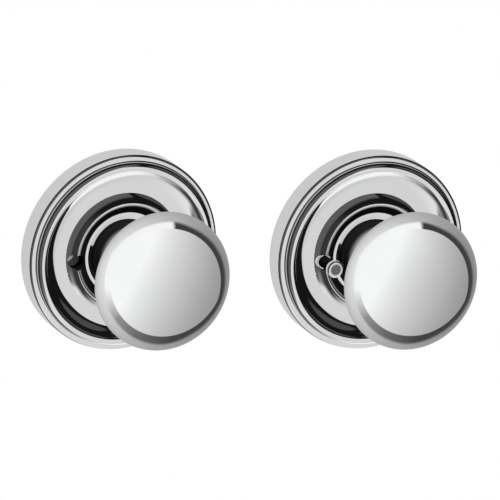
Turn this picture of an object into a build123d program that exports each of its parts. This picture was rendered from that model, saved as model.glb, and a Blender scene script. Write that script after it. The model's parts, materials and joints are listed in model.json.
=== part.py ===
from build123d import *
import math
import os

os.makedirs("parts", exist_ok=True)

# Layout: the two trims stand side by side with the door face on Y = 0 and their fronts towards -Y
trim_spacing = 104.0
running_clearance = 0.05
seat_clearance = 0.03

# Knob: an oblate head on a waisted neck, all heights counted off the door face
knob_radius = 26.9
knob_half_depth = 15.2
knob_rim_round = 10.5
knob_middle_height = 44.3
shank_radius = 13.6
neck_waist_depth = 2.1
neck_waist_drop = 5.1
neck_fillet = 5.0
neck_shoulder = 0.5
neck_shoulder_rise = 0.6
shank_stand_out = 1.8
journal_wall = 3.4
journal_flat_wall = 3.5
journal_flat_height = -0.9
spindle_width = 7.9
socket_clearance = 0.05
socket_reach = 2.0

# Rose: widths are counted inwards from its edge, rises from one step of the profile to the next
rose_radius = 38.5
dish_height = 7.6
side_wall_rise = 0.5
edge_round_width = 0.3
edge_round_rise = 0.35
quirk_width = 0.3
quirk_depth = 0.55
bead_set_in = 0.25
bead_rise = 0.2
bead_width = 0.55
bead_height = 0.65
valley_width = 0.6
valley_drop = 0.55
hollow_width = 1.65
hollow_sag = 0.35
ridge_half_width = 0.35
ridge_shoulder = 0.4
ridge_rise = 3.4
cove_width = 5.5
collar_lip_width = 3.92
collar_foot_width = 3.05
collar_rim_rise = 4.1
collar_rim_round = 0.3
collar_sag = 0.35
collar_mouth_drop = 1.9
mouth_swell = 0.3
rose_wall = 2.2
side_wall = 2.3
hollow_side_drop = 2.5
hollow_ridge_width = 0.8
hollow_ridge_rise = 2.8

# Bush, thrust washer and retaining ring on the shank
bush_wall = 1.35
bush_flange_width = 1.4
bush_flange_thickness = 1.0
bush_dish_width = 1.6
bush_dish_depth = 0.6
hub_wall = 1.3
hub_set_back = 0.7
washer_width = 2.3
washer_thickness = 0.5
washer_gap = 0.1
ring_thickness = 1.0
ring_opening = 9.0
ring_groove_depth = 1.15
shank_tail = 0.65

# Mounting plate and spring cage
plate_gap = 0.4
plate_thickness = 1.6
plate_rim_wall = 1.2
plate_rim_drop = 1.1
plate_corner = 1.4
shank_plate_gap = 0.4
post_gap = 0.3
cage_wall = 0.9
cage_depth = 10.5
cage_floor = 1.0
cage_hole_gap = 0.4

# Spring cam, return spring and the stop they work against
cam_front_height = -1.0
cam_thickness = 1.5
cam_width = 2.4
finger_width = 5.0
finger_gap = 0.3
finger_thickness = 0.9
finger_end_gap = 0.5
stop_front_height = -2.8
spring_wire = 1.3
spring_gap = 0.15
spring_pitch = 1.5
spring_rear_gap = 0.7
spring_turns = 3
leg_gap = 0.1
leg_overlap = 0.8

# Screws and posts
set_screw_radius = 2.0
set_screw_key = 2.0
set_screw_key_depth = 1.2
knob_screw_sink = 1.0
rose_screw_height = 3.1
rose_screw_sink = 0.4
post_radius = 3.5
post_length = 24.0
post_neck_radius = 2.5
post_head_radius = 3.4
post_head_thickness = 0.7
post_thread_radius = 1.65
screw_radius = 2.0
screw_neck_radius = 2.2
screw_hole_gap = 0.1
screw_head_radius = 3.8
screw_head_height = 2.4
screw_length = 32.0
driver_slot_width = 1.0
driver_slot_length = 4.6
driver_slot_depth = 1.3

# Spindle of the outside trim
spindle_front_gap = 1.0
spindle_rear_height = -52.0
spindle_chamfer = 0.8

# Privacy pin of the inside trim, and the release hole at the same place outside
pin_set_in = 0.35
pin_angle = 189.2
pin_hole_radius = 2.9
pin_plate_hole_radius = 3.05
release_plate_hole_radius = 2.4
pin_radius = 2.3
pin_rear_height = -18.0
pin_tail_flat = 1.2
pin_tail_height = -9.0
pin_head_radius = 3.3
pin_head_height = 18.0
pin_head_thickness = 2.2
pin_head_round = 0.7
guide_stand_out = 2.0
guide_flange_width = 0.7
guide_flange_thickness = 1.0
clip_radius = 2.9
clip_thickness = 0.9
clip_gap = 0.2
clip_groove_depth = 0.6

# Radii from the turning axis outwards: socket, journal, cam, spring, finger, stop, cage, posts
socket_width = spindle_width + 2 * socket_clearance
journal_radius = spindle_width / math.sqrt(2) + journal_wall
journal_flat = socket_width / 2 + journal_flat_wall
cam_radius = journal_radius + cam_width
spring_radius = cam_radius + spring_gap + spring_wire / 2
finger_inner = spring_radius + spring_wire / 2 + finger_gap
finger_outer = finger_inner + finger_thickness
stop_inner = math.hypot(finger_outer, finger_width / 2) + finger_gap
leg_start = spring_radius - spring_wire / 2
leg_end = stop_inner + leg_overlap
leg_middle = finger_width / 2 + leg_gap + spring_wire / 2
cage_inner_radius = math.hypot(leg_end, leg_middle + spring_wire / 2) + leg_gap
cage_radius = cage_inner_radius + cage_wall

# Radii of the shank, its bush and the hub collar of the rose
neck_radius = shank_radius - neck_waist_depth
neck_base_radius = shank_radius - neck_shoulder
ring_groove_radius = shank_radius - ring_groove_depth
bush_bore_radius = shank_radius + running_clearance
bush_sleeve_radius = bush_bore_radius + bush_wall
bush_flange_radius = bush_sleeve_radius + bush_flange_width
washer_radius = bush_bore_radius + washer_width
hub_radius = bush_sleeve_radius + hub_wall
collar_mouth_radius = bush_flange_radius + seat_clearance
collar_rim_radius = collar_mouth_radius + collar_lip_width
collar_foot_radius = collar_rim_radius + collar_foot_width
screw_offset = max(cage_radius + post_radius, washer_radius + screw_head_radius) + post_gap

# Radii of the rose from its edge inwards
edge_round_radius = rose_radius - edge_round_width
quirk_radius = edge_round_radius - quirk_width
bead_radius = quirk_radius - bead_set_in
bead_top_radius = bead_radius - bead_width
valley_radius = bead_top_radius - valley_width
ridge_foot_radius = valley_radius - hollow_width
ridge_radius = ridge_foot_radius - ridge_half_width
cove_end_radius = ridge_radius - ridge_half_width
dish_outer_radius = cove_end_radius - cove_width
hollow_radius = rose_radius - side_wall
hollow_ridge_radius = ridge_radius - ridge_half_width
plate_radius = hollow_radius - plate_gap

# Heights of the rose
side_wall_height = dish_height + side_wall_rise
edge_round_height = side_wall_height + edge_round_rise
quirk_height = edge_round_height - quirk_depth
bead_foot_height = quirk_height + bead_rise
bead_top_height = bead_foot_height + bead_height
valley_height = bead_top_height - valley_drop
ridge_height = dish_height + ridge_rise
ridge_shoulder_height = ridge_height - ridge_shoulder
cove_rise = ridge_shoulder_height - dish_height
cove_radius = (cove_width**2 + cove_rise**2) / (2 * cove_rise)
collar_rim_height = dish_height + collar_rim_rise
collar_mouth_height = collar_rim_height - collar_mouth_drop
ceiling_height = dish_height - rose_wall
hollow_side_height = side_wall_height - hollow_side_drop
hollow_ridge_height = ceiling_height + hollow_ridge_rise
plate_rim_height = hollow_side_height - plate_rim_drop

# Heights along the shank, from the plate to the bush
shank_end_height = plate_thickness + shank_plate_gap
ring_rear_height = shank_end_height + shank_tail
ring_front_height = ring_rear_height + ring_thickness
washer_rear_height = ring_front_height + washer_gap
washer_front_height = washer_rear_height + washer_thickness
bush_end_height = washer_front_height + running_clearance
bush_flange_rear = collar_mouth_height - bush_flange_thickness
hub_end_height = bush_end_height + hub_set_back
shank_top_height = collar_mouth_height + shank_stand_out
neck_base_height = shank_top_height + neck_shoulder_rise

# Heights of the knob's neck, socket and set screw
rim_middle_radius = knob_radius - knob_rim_round
face_radius_sum = rim_middle_radius**2 + knob_half_depth**2 - knob_rim_round**2
face_radius = face_radius_sum / (2 * (knob_half_depth - knob_rim_round))
face_middle_drop = face_radius - knob_half_depth
rim_angle = math.degrees(math.atan2(face_middle_drop, rim_middle_radius))
back_middle_height = knob_middle_height + face_middle_drop
neck_join_angle = math.degrees(math.acos(neck_radius / face_radius))
neck_join_height = back_middle_height - math.sqrt(face_radius**2 - neck_radius**2)
neck_waist_height = knob_middle_height - knob_half_depth - neck_waist_drop
socket_top_height = neck_waist_height + socket_reach
spindle_front_height = socket_top_height - spindle_front_gap
knob_screw_height = (neck_base_height + neck_waist_height) / 2
flare_width = neck_base_radius - neck_radius
flare_length = neck_waist_height - neck_base_height
flare_radius = (flare_width**2 + flare_length**2) / (2 * flare_width)
knob_screw_drop = neck_waist_height - knob_screw_height
knob_screw_face = neck_radius + flare_radius - math.sqrt(flare_radius**2 - knob_screw_drop**2)

# Heights behind the door face: cam, spring and cage
journal_end_height = -cage_depth
cage_floor_height = cage_floor - cage_depth
cam_rear_height = cam_front_height - cam_thickness
finger_end_height = cage_floor_height + finger_end_gap
spring_rear_height = cage_floor_height + spring_rear_gap + spring_wire / 2
leg_angle = math.degrees(math.asin(leg_middle / spring_radius))
spring_sweep = spring_turns - 2 * leg_angle / 360
spring_front_height = spring_rear_height + spring_pitch * spring_sweep

# Place of the pin, its guide and its clip
pin_offset = collar_rim_radius - pin_set_in
pin_x = pin_offset * math.cos(math.radians(pin_angle))
pin_z = pin_offset * math.sin(math.radians(pin_angle))
guide_radius = pin_hole_radius - running_clearance
guide_bore_radius = pin_radius + running_clearance
guide_flange_radius = guide_radius + guide_flange_width
guide_rear_height = ceiling_height - guide_flange_thickness
guide_front_height = dish_height + guide_stand_out
clip_front_height = guide_rear_height - clip_gap
clip_rear_height = clip_front_height - clip_thickness
clip_groove_radius = pin_radius - clip_groove_depth

trims = {"outside": 0.0, "inside": trim_spacing}

for trim, axis_x in trims.items():
    # A profile plane holds radius and height; a door plane is parallel to the door and looks at its front
    profile_plane = Plane(origin=(axis_x, 0, 0), x_dir=(1, 0, 0), z_dir=(0, 0, -1))
    door_plane = Plane(origin=(axis_x, 0, 0), x_dir=(1, 0, 0), z_dir=(0, -1, 0))
    turning_axis = Axis((axis_x, 0, 0), (0, -1, 0))

    # Knob with its shank, ring groove, journal, square socket and set screw hole
    with BuildPart() as knob:
        with BuildSketch(profile_plane):
            with BuildLine():
                back = CenterArc((0, back_middle_height), face_radius, -neck_join_angle, neck_join_angle - rim_angle)
                CenterArc((rim_middle_radius, knob_middle_height), knob_rim_round, -rim_angle, 2 * rim_angle)
                face_middle = (0, knob_middle_height - face_middle_drop)
                face = CenterArc(face_middle, face_radius, rim_angle, 90 - rim_angle)
                neck = Line(back @ 0, (neck_radius, neck_waist_height))
                flare = TangentArc(neck @ 1, (neck_base_radius, neck_base_height), tangent=(0, -1))
                Polyline(
                    flare @ 1,
                    (shank_radius, shank_top_height),
                    (shank_radius, ring_front_height + running_clearance),
                    (ring_groove_radius, ring_front_height + running_clearance),
                    (ring_groove_radius, ring_rear_height - running_clearance),
                    (shank_radius, ring_rear_height - running_clearance),
                    (shank_radius, shank_end_height),
                    (journal_radius, shank_end_height),
                    (journal_radius, journal_end_height),
                    (0, journal_end_height),
                    face @ 1,
                )
            make_face()
        revolve(axis=turning_axis)
        neck_edges = knob.edges().filter_by(GeomType.CIRCLE)
        fillet(neck_edges.sort_by_distance((axis_x + neck_radius, -neck_join_height, 0))[0], neck_fillet)
        with BuildSketch(door_plane.offset(journal_end_height)):
            with Locations((0, journal_flat + journal_radius), (0, -journal_flat - journal_radius)):
                Rectangle(4 * journal_radius, 2 * journal_radius)
        extrude(amount=journal_flat_height - journal_end_height, mode=Mode.SUBTRACT)
        with BuildSketch(door_plane.offset(journal_end_height)):
            Rectangle(socket_width, socket_width)
        extrude(amount=socket_top_height - journal_end_height, mode=Mode.SUBTRACT)
        with BuildSketch(profile_plane):
            with Locations((0, knob_screw_height)):
                Circle(set_screw_radius + seat_clearance)
        extrude(amount=2 * shank_radius, mode=Mode.SUBTRACT)
    knob.part.label = trim + "_knob"
    export_step(knob.part, f"parts/{trim}_knob.step")

    # Grub screw in the underside of the neck
    with BuildPart() as knob_set_screw:
        with BuildSketch(profile_plane.offset(socket_width / 2)):
            with Locations((0, knob_screw_height)):
                Circle(set_screw_radius)
        extrude(amount=knob_screw_face - knob_screw_sink - socket_width / 2)
        with BuildSketch(profile_plane.offset(knob_screw_face - knob_screw_sink)):
            with Locations((0, knob_screw_height)):
                RegularPolygon(set_screw_key / 2, 6, major_radius=False)
        extrude(amount=-set_screw_key_depth, mode=Mode.SUBTRACT)
    knob_set_screw.part.label = trim + "_knob_set_screw"
    export_step(knob_set_screw.part, f"parts/{trim}_knob_set_screw.step")

    # Rose, turned from one profile, with the pin hole and the set screw hole
    with BuildPart() as rose:
        with BuildSketch(profile_plane):
            with BuildLine():
                wall = Line((rose_radius, 0), (rose_radius, side_wall_height))
                edge = TangentArc(wall @ 1, (edge_round_radius, edge_round_height), tangent=wall % 1)
                quirk = Polyline(edge @ 1, (quirk_radius, quirk_height), (bead_radius, bead_foot_height))
                bead = ThreePointArc(quirk @ 1, (bead_top_radius, bead_top_height), (valley_radius, valley_height))
                hollow_middle_radius = (valley_radius + ridge_foot_radius) / 2 - hollow_sag
                hollow_middle_height = (valley_height + ridge_shoulder_height) / 2 - hollow_sag
                hollow = ThreePointArc(
                    bead @ 1,
                    (hollow_middle_radius, hollow_middle_height),
                    (ridge_foot_radius, ridge_shoulder_height),
                )
                ridge = ThreePointArc(
                    hollow @ 1,
                    (ridge_radius, ridge_height),
                    (cove_end_radius, ridge_shoulder_height),
                )
                cove = RadiusArc(ridge @ 1, (dish_outer_radius, dish_height), cove_radius)
                dish = Line(cove @ 1, (collar_foot_radius, dish_height))
                collar_top_radius = collar_rim_radius + collar_rim_round
                collar_top_height = collar_rim_height - collar_rim_round
                collar_middle_radius = (collar_foot_radius + collar_top_radius) / 2 - collar_sag
                collar_middle_height = (dish_height + collar_top_height) / 2 - collar_sag
                collar = ThreePointArc(
                    dish @ 1,
                    (collar_middle_radius, collar_middle_height),
                    (collar_top_radius, collar_top_height),
                )
                rim = ThreePointArc(
                    collar @ 1,
                    (collar_rim_radius, collar_rim_height),
                    (collar_rim_radius - collar_rim_round, collar_rim_height - collar_rim_round / 2),
                )
                mouth = ThreePointArc(
                    rim @ 1,
                    (
                        (collar_rim_radius - collar_rim_round + collar_mouth_radius) / 2 + mouth_swell / 2,
                        (collar_rim_height - collar_rim_round / 2 + collar_mouth_height) / 2 + mouth_swell,
                    ),
                    (collar_mouth_radius, collar_mouth_height),
                )
                Polyline(
                    mouth @ 1,
                    (collar_mouth_radius, bush_flange_rear),
                    (bush_sleeve_radius, bush_flange_rear),
                    (bush_sleeve_radius, hub_end_height),
                    (hub_radius, hub_end_height),
                    (hub_radius, ceiling_height),
                    (dish_outer_radius, ceiling_height),
                    (hollow_ridge_radius - hollow_ridge_width, hollow_ridge_height),
                    (hollow_ridge_radius, hollow_ridge_height),
                    (hollow_radius, hollow_side_height),
                    (hollow_radius, 0),
                    wall @ 0,
                )
            make_face()
        revolve(axis=turning_axis)
        with BuildSketch(door_plane):
            with Locations((pin_x, pin_z)):
                Circle(pin_hole_radius)
        extrude(amount=collar_rim_height + 1, mode=Mode.SUBTRACT)
        with BuildSketch(profile_plane.offset(plate_radius)):
            with Locations((0, rose_screw_height)):
                Circle(set_screw_radius + seat_clearance)
        extrude(amount=rose_radius, mode=Mode.SUBTRACT)
    rose.part.label = trim + "_rose"
    export_step(rose.part, f"parts/{trim}_rose.step")

    # Grub screw in the underside of the rose, against the plate's rim
    with BuildPart() as rose_set_screw:
        with BuildSketch(profile_plane.offset(plate_radius + seat_clearance)):
            with Locations((0, rose_screw_height)):
                Circle(set_screw_radius)
        extrude(amount=rose_radius - rose_screw_sink - plate_radius - seat_clearance)
        with BuildSketch(profile_plane.offset(rose_radius - rose_screw_sink)):
            with Locations((0, rose_screw_height)):
                RegularPolygon(set_screw_key / 2, 6, major_radius=False)
        extrude(amount=-set_screw_key_depth, mode=Mode.SUBTRACT)
    rose_set_screw.part.label = trim + "_rose_set_screw"
    export_step(rose_set_screw.part, f"parts/{trim}_rose_set_screw.step")

    # Flanged bush that the shank turns in
    with BuildPart() as rose_bush:
        with BuildSketch(profile_plane):
            with BuildLine():
                Polyline(
                    (bush_bore_radius, bush_end_height),
                    (bush_sleeve_radius - seat_clearance, bush_end_height),
                    (bush_sleeve_radius - seat_clearance, bush_flange_rear),
                    (bush_flange_radius, bush_flange_rear),
                    (bush_flange_radius, collar_mouth_height),
                    (bush_bore_radius + bush_dish_width, collar_mouth_height),
                    (bush_bore_radius, collar_mouth_height - bush_dish_depth),
                    close=True,
                )
            make_face()
        revolve(axis=turning_axis)
    rose_bush.part.label = trim + "_rose_bush"
    export_step(rose_bush.part, f"parts/{trim}_rose_bush.step")

    # Thrust washer behind the bush
    with BuildPart() as thrust_washer:
        with BuildSketch(door_plane.offset(washer_rear_height)):
            Circle(washer_radius)
            Circle(shank_radius + 2 * running_clearance, mode=Mode.SUBTRACT)
        extrude(amount=washer_thickness)
    thrust_washer.part.label = trim + "_thrust_washer"
    export_step(thrust_washer.part, f"parts/{trim}_thrust_washer.step")

    # Open retaining ring in the groove of the shank
    with BuildPart() as retaining_ring:
        with BuildSketch(door_plane.offset(ring_rear_height)):
            Circle(washer_radius)
            Circle(ring_groove_radius + running_clearance, mode=Mode.SUBTRACT)
            with Locations((0, washer_radius)):
                Rectangle(ring_opening, 2 * (washer_radius - ring_groove_radius) + ring_opening, mode=Mode.SUBTRACT)
        extrude(amount=ring_thickness)
    retaining_ring.part.label = trim + "_retaining_ring"
    export_step(retaining_ring.part, f"parts/{trim}_retaining_ring.step")

    # Cam on the flats of the journal, with its finger bent back into the cage
    with BuildPart() as spring_cam:
        with BuildSketch(door_plane.offset(cam_rear_height)):
            Circle(cam_radius)
            with Locations((0, -finger_inner / 2)):
                Rectangle(finger_width, finger_inner)
            with Locations((0, -finger_inner)):
                Rectangle(finger_width, 2 * finger_thickness)
            Circle(journal_radius + seat_clearance, mode=Mode.SUBTRACT)
        extrude(amount=cam_thickness)
        with BuildSketch(door_plane.offset(cam_rear_height)):
            with Locations((0, (cam_radius + journal_flat + seat_clearance) / 2)):
                Rectangle(cam_radius, cam_radius - journal_flat - seat_clearance)
            with Locations((0, -(cam_radius + journal_flat + seat_clearance) / 2)):
                Rectangle(cam_radius, cam_radius - journal_flat - seat_clearance)
        extrude(amount=cam_thickness)
        with BuildSketch(door_plane.offset(finger_end_height)):
            with Locations((0, -(finger_inner + finger_outer) / 2)):
                Rectangle(finger_width, finger_thickness)
        extrude(amount=cam_front_height - finger_end_height)
    spring_cam.part.label = trim + "_spring_cam"
    export_step(spring_cam.part, f"parts/{trim}_spring_cam.step")

    # Return spring: a coil of square wire with two straight legs
    start = math.radians(leg_angle - 90)
    coil_plane = Plane(
        origin=(axis_x, -spring_rear_height, 0),
        x_dir=(math.cos(start), 0, math.sin(start)),
        z_dir=(0, -1, 0),
    )
    with BuildLine() as coil_line:
        Helix(spring_pitch, spring_pitch * spring_sweep, spring_radius)
    coil = coil_plane.from_local_coords(coil_line.edge())
    with BuildPart() as return_spring:
        with BuildSketch(Plane(origin=coil @ 0, x_dir=coil_plane.x_dir, z_dir=coil % 0)):
            Rectangle(spring_wire, spring_wire)
        sweep(path=coil, is_frenet=True)
        with BuildSketch(door_plane.offset(spring_rear_height - spring_wire / 2)):
            with Locations((leg_middle, -(leg_start + leg_end) / 2)):
                Rectangle(spring_wire, leg_end - leg_start)
        extrude(amount=spring_wire)
        with BuildSketch(door_plane.offset(spring_front_height - spring_wire / 2)):
            with Locations((-leg_middle, -(leg_start + leg_end) / 2)):
                Rectangle(spring_wire, leg_end - leg_start)
        extrude(amount=spring_wire)
    return_spring.part.label = trim + "_return_spring"
    export_step(return_spring.part, f"parts/{trim}_return_spring.step")

    # Pressed cup behind the plate, with the stop lanced inwards from its wall
    with BuildPart() as spring_cage:
        with BuildSketch(door_plane.offset(-cage_depth)):
            Circle(cage_radius)
        extrude(amount=cage_depth)
        with BuildSketch(door_plane.offset(cage_floor_height)):
            Circle(cage_inner_radius)
        extrude(amount=-cage_floor_height, mode=Mode.SUBTRACT)
        with BuildSketch(door_plane.offset(-cage_depth)):
            Circle(journal_radius + cage_hole_gap)
        extrude(amount=cage_floor, mode=Mode.SUBTRACT)
        with BuildSketch(door_plane.offset(-cage_depth)):
            with Locations((0, -(stop_inner + cage_inner_radius + cage_wall / 2) / 2)):
                Rectangle(finger_width, cage_inner_radius + cage_wall / 2 - stop_inner)
        extrude(amount=cage_depth + stop_front_height)
    spring_cage.part.label = trim + "_spring_cage"
    export_step(spring_cage.part, f"parts/{trim}_spring_cage.step")

    # Mounting plate: a shallow pan with a turned-up rim, the journal's bearing, screw holes and pin hole
    if trim == "outside":
        plate_screw_hole, plate_pin_hole = post_neck_radius, release_plate_hole_radius
    else:
        plate_screw_hole, plate_pin_hole = screw_neck_radius + screw_hole_gap, pin_plate_hole_radius
    with BuildPart() as mounting_plate:
        with BuildSketch(door_plane):
            Circle(plate_radius)
        extrude(amount=plate_rim_height)
        fillet(mounting_plate.edges().filter_by(GeomType.CIRCLE).sort_by(Axis.Y)[-1], plate_corner)
        with BuildSketch(door_plane.offset(plate_thickness)):
            Circle(plate_radius - plate_rim_wall)
        extrude(amount=plate_rim_height, mode=Mode.SUBTRACT)
        with BuildSketch(door_plane):
            Circle(journal_radius + running_clearance)
            with Locations((0, screw_offset), (0, -screw_offset)):
                Circle(plate_screw_hole)
            with Locations((pin_x, pin_z)):
                Circle(plate_pin_hole)
        extrude(amount=plate_thickness, mode=Mode.SUBTRACT)
    mounting_plate.part.label = trim + "_mounting_plate"
    export_step(mounting_plate.part, f"parts/{trim}_mounting_plate.step")

# Square spindle that drives the latch, held in the outside knob
spindle_plane = Plane(origin=(0, -spindle_rear_height, 0), x_dir=(1, 0, 0), z_dir=(0, -1, 0))
with BuildPart() as spindle:
    with BuildSketch(spindle_plane):
        Rectangle(spindle_width, spindle_width)
    extrude(amount=spindle_front_height - spindle_rear_height)
    chamfer(spindle.faces().sort_by(Axis.Y)[-1].edges(), spindle_chamfer)
spindle.part.label = "spindle"
export_step(spindle.part, "parts/spindle.step")

# Two posts riveted to the outside plate, threaded for the through screws
post_plane = Plane(origin=(0, post_length, 0), x_dir=(1, 0, 0), z_dir=(0, -1, 0))
with BuildPart() as screw_posts:
    with BuildSketch(post_plane):
        with GridLocations(0, 2 * screw_offset, 1, 2):
            Circle(post_radius)
    extrude(amount=post_length)
    with BuildSketch(post_plane.offset(post_length)):
        with GridLocations(0, 2 * screw_offset, 1, 2):
            Circle(post_neck_radius)
    extrude(amount=plate_thickness)
    with BuildSketch(post_plane.offset(post_length + plate_thickness)):
        with GridLocations(0, 2 * screw_offset, 1, 2):
            Circle(post_head_radius)
    extrude(amount=post_head_thickness, taper=30)
    with BuildSketch(post_plane):
        with GridLocations(0, 2 * screw_offset, 1, 2):
            Circle(post_thread_radius)
    extrude(amount=post_length + plate_thickness + post_head_thickness, mode=Mode.SUBTRACT)
screw_posts.part.label = "screw_posts"
export_step(screw_posts.part, "parts/screw_posts.step")

# Two through screws in the inside plate, with crossed driver slots
screw_plane = Plane(origin=(trim_spacing, -plate_thickness, 0), x_dir=(1, 0, 0), z_dir=(0, -1, 0))
with BuildPart() as through_screws:
    with BuildSketch(screw_plane):
        with GridLocations(0, 2 * screw_offset, 1, 2):
            Circle(screw_head_radius)
    extrude(amount=screw_head_height)
    fillet(through_screws.edges().filter_by(GeomType.CIRCLE).group_by(Axis.Y)[0], screw_head_height / 2)
    with BuildSketch(screw_plane.offset(screw_head_height - driver_slot_depth)):
        with GridLocations(0, 2 * screw_offset, 1, 2):
            Rectangle(driver_slot_length, driver_slot_width)
            Rectangle(driver_slot_width, driver_slot_length)
    extrude(amount=driver_slot_depth, mode=Mode.SUBTRACT)
    with BuildSketch(screw_plane):
        with GridLocations(0, 2 * screw_offset, 1, 2):
            Circle(screw_neck_radius)
    extrude(amount=-plate_thickness)
    with BuildSketch(screw_plane.offset(-plate_thickness)):
        with GridLocations(0, 2 * screw_offset, 1, 2):
            Circle(screw_radius)
    extrude(amount=-screw_length)
through_screws.part.label = "through_screws"
export_step(through_screws.part, "parts/through_screws.step")

# Guide sleeve for the pin, flanged behind the rose's wall
pin_plane = Plane(origin=(trim_spacing + pin_x, 0, pin_z), x_dir=(1, 0, 0), z_dir=(0, -1, 0))
with BuildPart() as pin_guide:
    with BuildSketch(pin_plane.offset(guide_rear_height)):
        Circle(guide_radius)
    extrude(amount=guide_front_height - guide_rear_height)
    with BuildSketch(pin_plane.offset(guide_rear_height)):
        Circle(guide_flange_radius)
    extrude(amount=guide_flange_thickness)
    with BuildSketch(pin_plane.offset(guide_rear_height)):
        Circle(guide_bore_radius)
    extrude(amount=guide_front_height - guide_rear_height, mode=Mode.SUBTRACT)
pin_guide.part.label = "pin_guide"
export_step(pin_guide.part, "parts/pin_guide.step")

# Privacy pin: round head, shaft with a clip groove, flattened tail
with BuildPart() as privacy_pin:
    with BuildSketch(pin_plane.offset(pin_rear_height)):
        Circle(pin_radius)
    extrude(amount=pin_head_height - pin_rear_height)
    with BuildSketch(pin_plane.offset(pin_head_height)):
        Circle(pin_head_radius)
    extrude(amount=pin_head_thickness)
    fillet(privacy_pin.edges().filter_by(GeomType.CIRCLE).sort_by(Axis.Y)[0], pin_head_round)
    with BuildSketch(pin_plane.offset(clip_rear_height - running_clearance)):
        Circle(2 * pin_radius)
        Circle(clip_groove_radius, mode=Mode.SUBTRACT)
    extrude(amount=clip_thickness + 2 * running_clearance, mode=Mode.SUBTRACT)
    with BuildSketch(pin_plane.offset(pin_rear_height)):
        with Locations((0, pin_tail_flat + pin_radius), (0, -pin_tail_flat - pin_radius)):
            Rectangle(4 * pin_radius, 2 * pin_radius)
    extrude(amount=pin_tail_height - pin_rear_height, mode=Mode.SUBTRACT)
privacy_pin.part.label = "privacy_pin"
export_step(privacy_pin.part, "parts/privacy_pin.step")

# Clip on the pin behind the guide, which keeps the pin from being pulled out
with BuildPart() as pin_clip:
    with BuildSketch(pin_plane.offset(clip_rear_height)):
        Circle(clip_radius)
        Circle(clip_groove_radius + running_clearance, mode=Mode.SUBTRACT)
        with Locations((0, -clip_radius / 2)):
            Rectangle(2 * clip_groove_radius, clip_radius, mode=Mode.SUBTRACT)
    extrude(amount=clip_thickness)
pin_clip.part.label = "pin_clip"
export_step(pin_clip.part, "parts/pin_clip.step")
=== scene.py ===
# %% [markdown]
# A privacy knob lock in polished chrome: two turned knobs on waisted necks, each in a stepped round rose.
# The imported CAD model is the fixed frame, and it is loaded first. The two trims lie side by side.
# The release hole of the outside rose and the push pin of the inside rose are at the same place beside
# their axes, so that place is given once, here.

# %% Load the imported model
import json
import math

import bmesh
import bpy
import numpy as np
from mathutils import Matrix

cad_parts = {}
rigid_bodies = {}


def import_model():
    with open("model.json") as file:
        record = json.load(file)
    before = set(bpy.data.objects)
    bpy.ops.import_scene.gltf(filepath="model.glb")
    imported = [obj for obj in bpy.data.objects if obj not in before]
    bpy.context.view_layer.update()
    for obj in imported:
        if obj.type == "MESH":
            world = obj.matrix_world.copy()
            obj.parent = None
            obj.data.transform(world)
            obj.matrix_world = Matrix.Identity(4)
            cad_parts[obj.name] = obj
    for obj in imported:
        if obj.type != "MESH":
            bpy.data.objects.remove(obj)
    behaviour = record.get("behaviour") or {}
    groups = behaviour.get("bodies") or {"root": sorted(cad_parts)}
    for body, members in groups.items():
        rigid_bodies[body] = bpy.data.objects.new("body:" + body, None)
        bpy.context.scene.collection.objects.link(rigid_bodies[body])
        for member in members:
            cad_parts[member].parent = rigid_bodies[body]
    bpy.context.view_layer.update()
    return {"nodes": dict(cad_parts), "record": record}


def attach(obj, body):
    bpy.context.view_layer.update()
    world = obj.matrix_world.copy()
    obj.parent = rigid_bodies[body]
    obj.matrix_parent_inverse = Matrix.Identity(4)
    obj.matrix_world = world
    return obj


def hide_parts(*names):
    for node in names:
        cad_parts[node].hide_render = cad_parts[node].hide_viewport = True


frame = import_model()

scene = bpy.context.scene
nodes = frame["nodes"]
millimetre = 0.001
trim_axes = {"outside": 0.0, "inside": 104.0}
pin_offset = 20.0
pin_turn = math.radians(189.2)
pin_place = (pin_offset * math.cos(pin_turn), pin_offset * math.sin(pin_turn))

# %% [markdown]
# The camera looks at both fronts from the left and a little from above, rolled slightly so that the two
# trims stand level in the picture. It is a long way off with a long lens, because the two halves look the
# same size and show hardly any perspective. An orthographic camera would do as well, but the long lens
# stays closer to what a photographer uses.

# %% Camera
view_azimuth = math.radians(-26.76)
view_elevation = math.radians(15.57)
view_roll = math.radians(7.71)
view_width = 0.1891
lens_length = 1000.0
aim_right = 0.05125
aim_up = -0.00151
aim_back = -0.0036

back = np.array([
    math.sin(view_azimuth) * math.cos(view_elevation),
    -math.cos(view_azimuth) * math.cos(view_elevation),
    math.sin(view_elevation),
])
level_right = np.array([math.cos(view_azimuth), math.sin(view_azimuth), 0.0])
level_up = np.cross(back, level_right)
right = level_right * math.cos(view_roll) + level_up * math.sin(view_roll)
up = np.cross(back, right)

camera_data = bpy.data.cameras.new("camera")
camera = bpy.data.objects.new("camera", camera_data)
scene.collection.objects.link(camera)
scene.camera = camera
camera_data.lens = lens_length
camera_data.clip_start = 0.1
camera_data.clip_end = 100.0
aim = right * aim_right + up * aim_up + back * aim_back
place = aim + back * view_width * lens_length / camera_data.sensor_width
matrix = np.eye(4)
matrix[:3] = np.stack([right, up, back, place], axis=1)
camera.matrix_world = Matrix(matrix.tolist())
scene.view_settings.view_transform = "Standard"
print("camera", np.round(place, 3), "right", np.round(right, 4), "up", np.round(up, 4))

# %% [markdown]
# Cloth, floor and metal are all made of shader nodes. A node graph is easier to read as arithmetic, so a
# few helpers come first: each one adds a node and hands back its output. Directions are given by a clock
# angle in the plane of the door, counted from the right side over the top, and by how far they lean to
# the front.

# %% Small helpers for shader nodes
def add_node(tree, kind, **settings):
    """Adds one node and sets its properties by name."""
    node = tree.nodes.new(kind)
    for key, value in settings.items():
        setattr(node, key, value)
    return node


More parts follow.
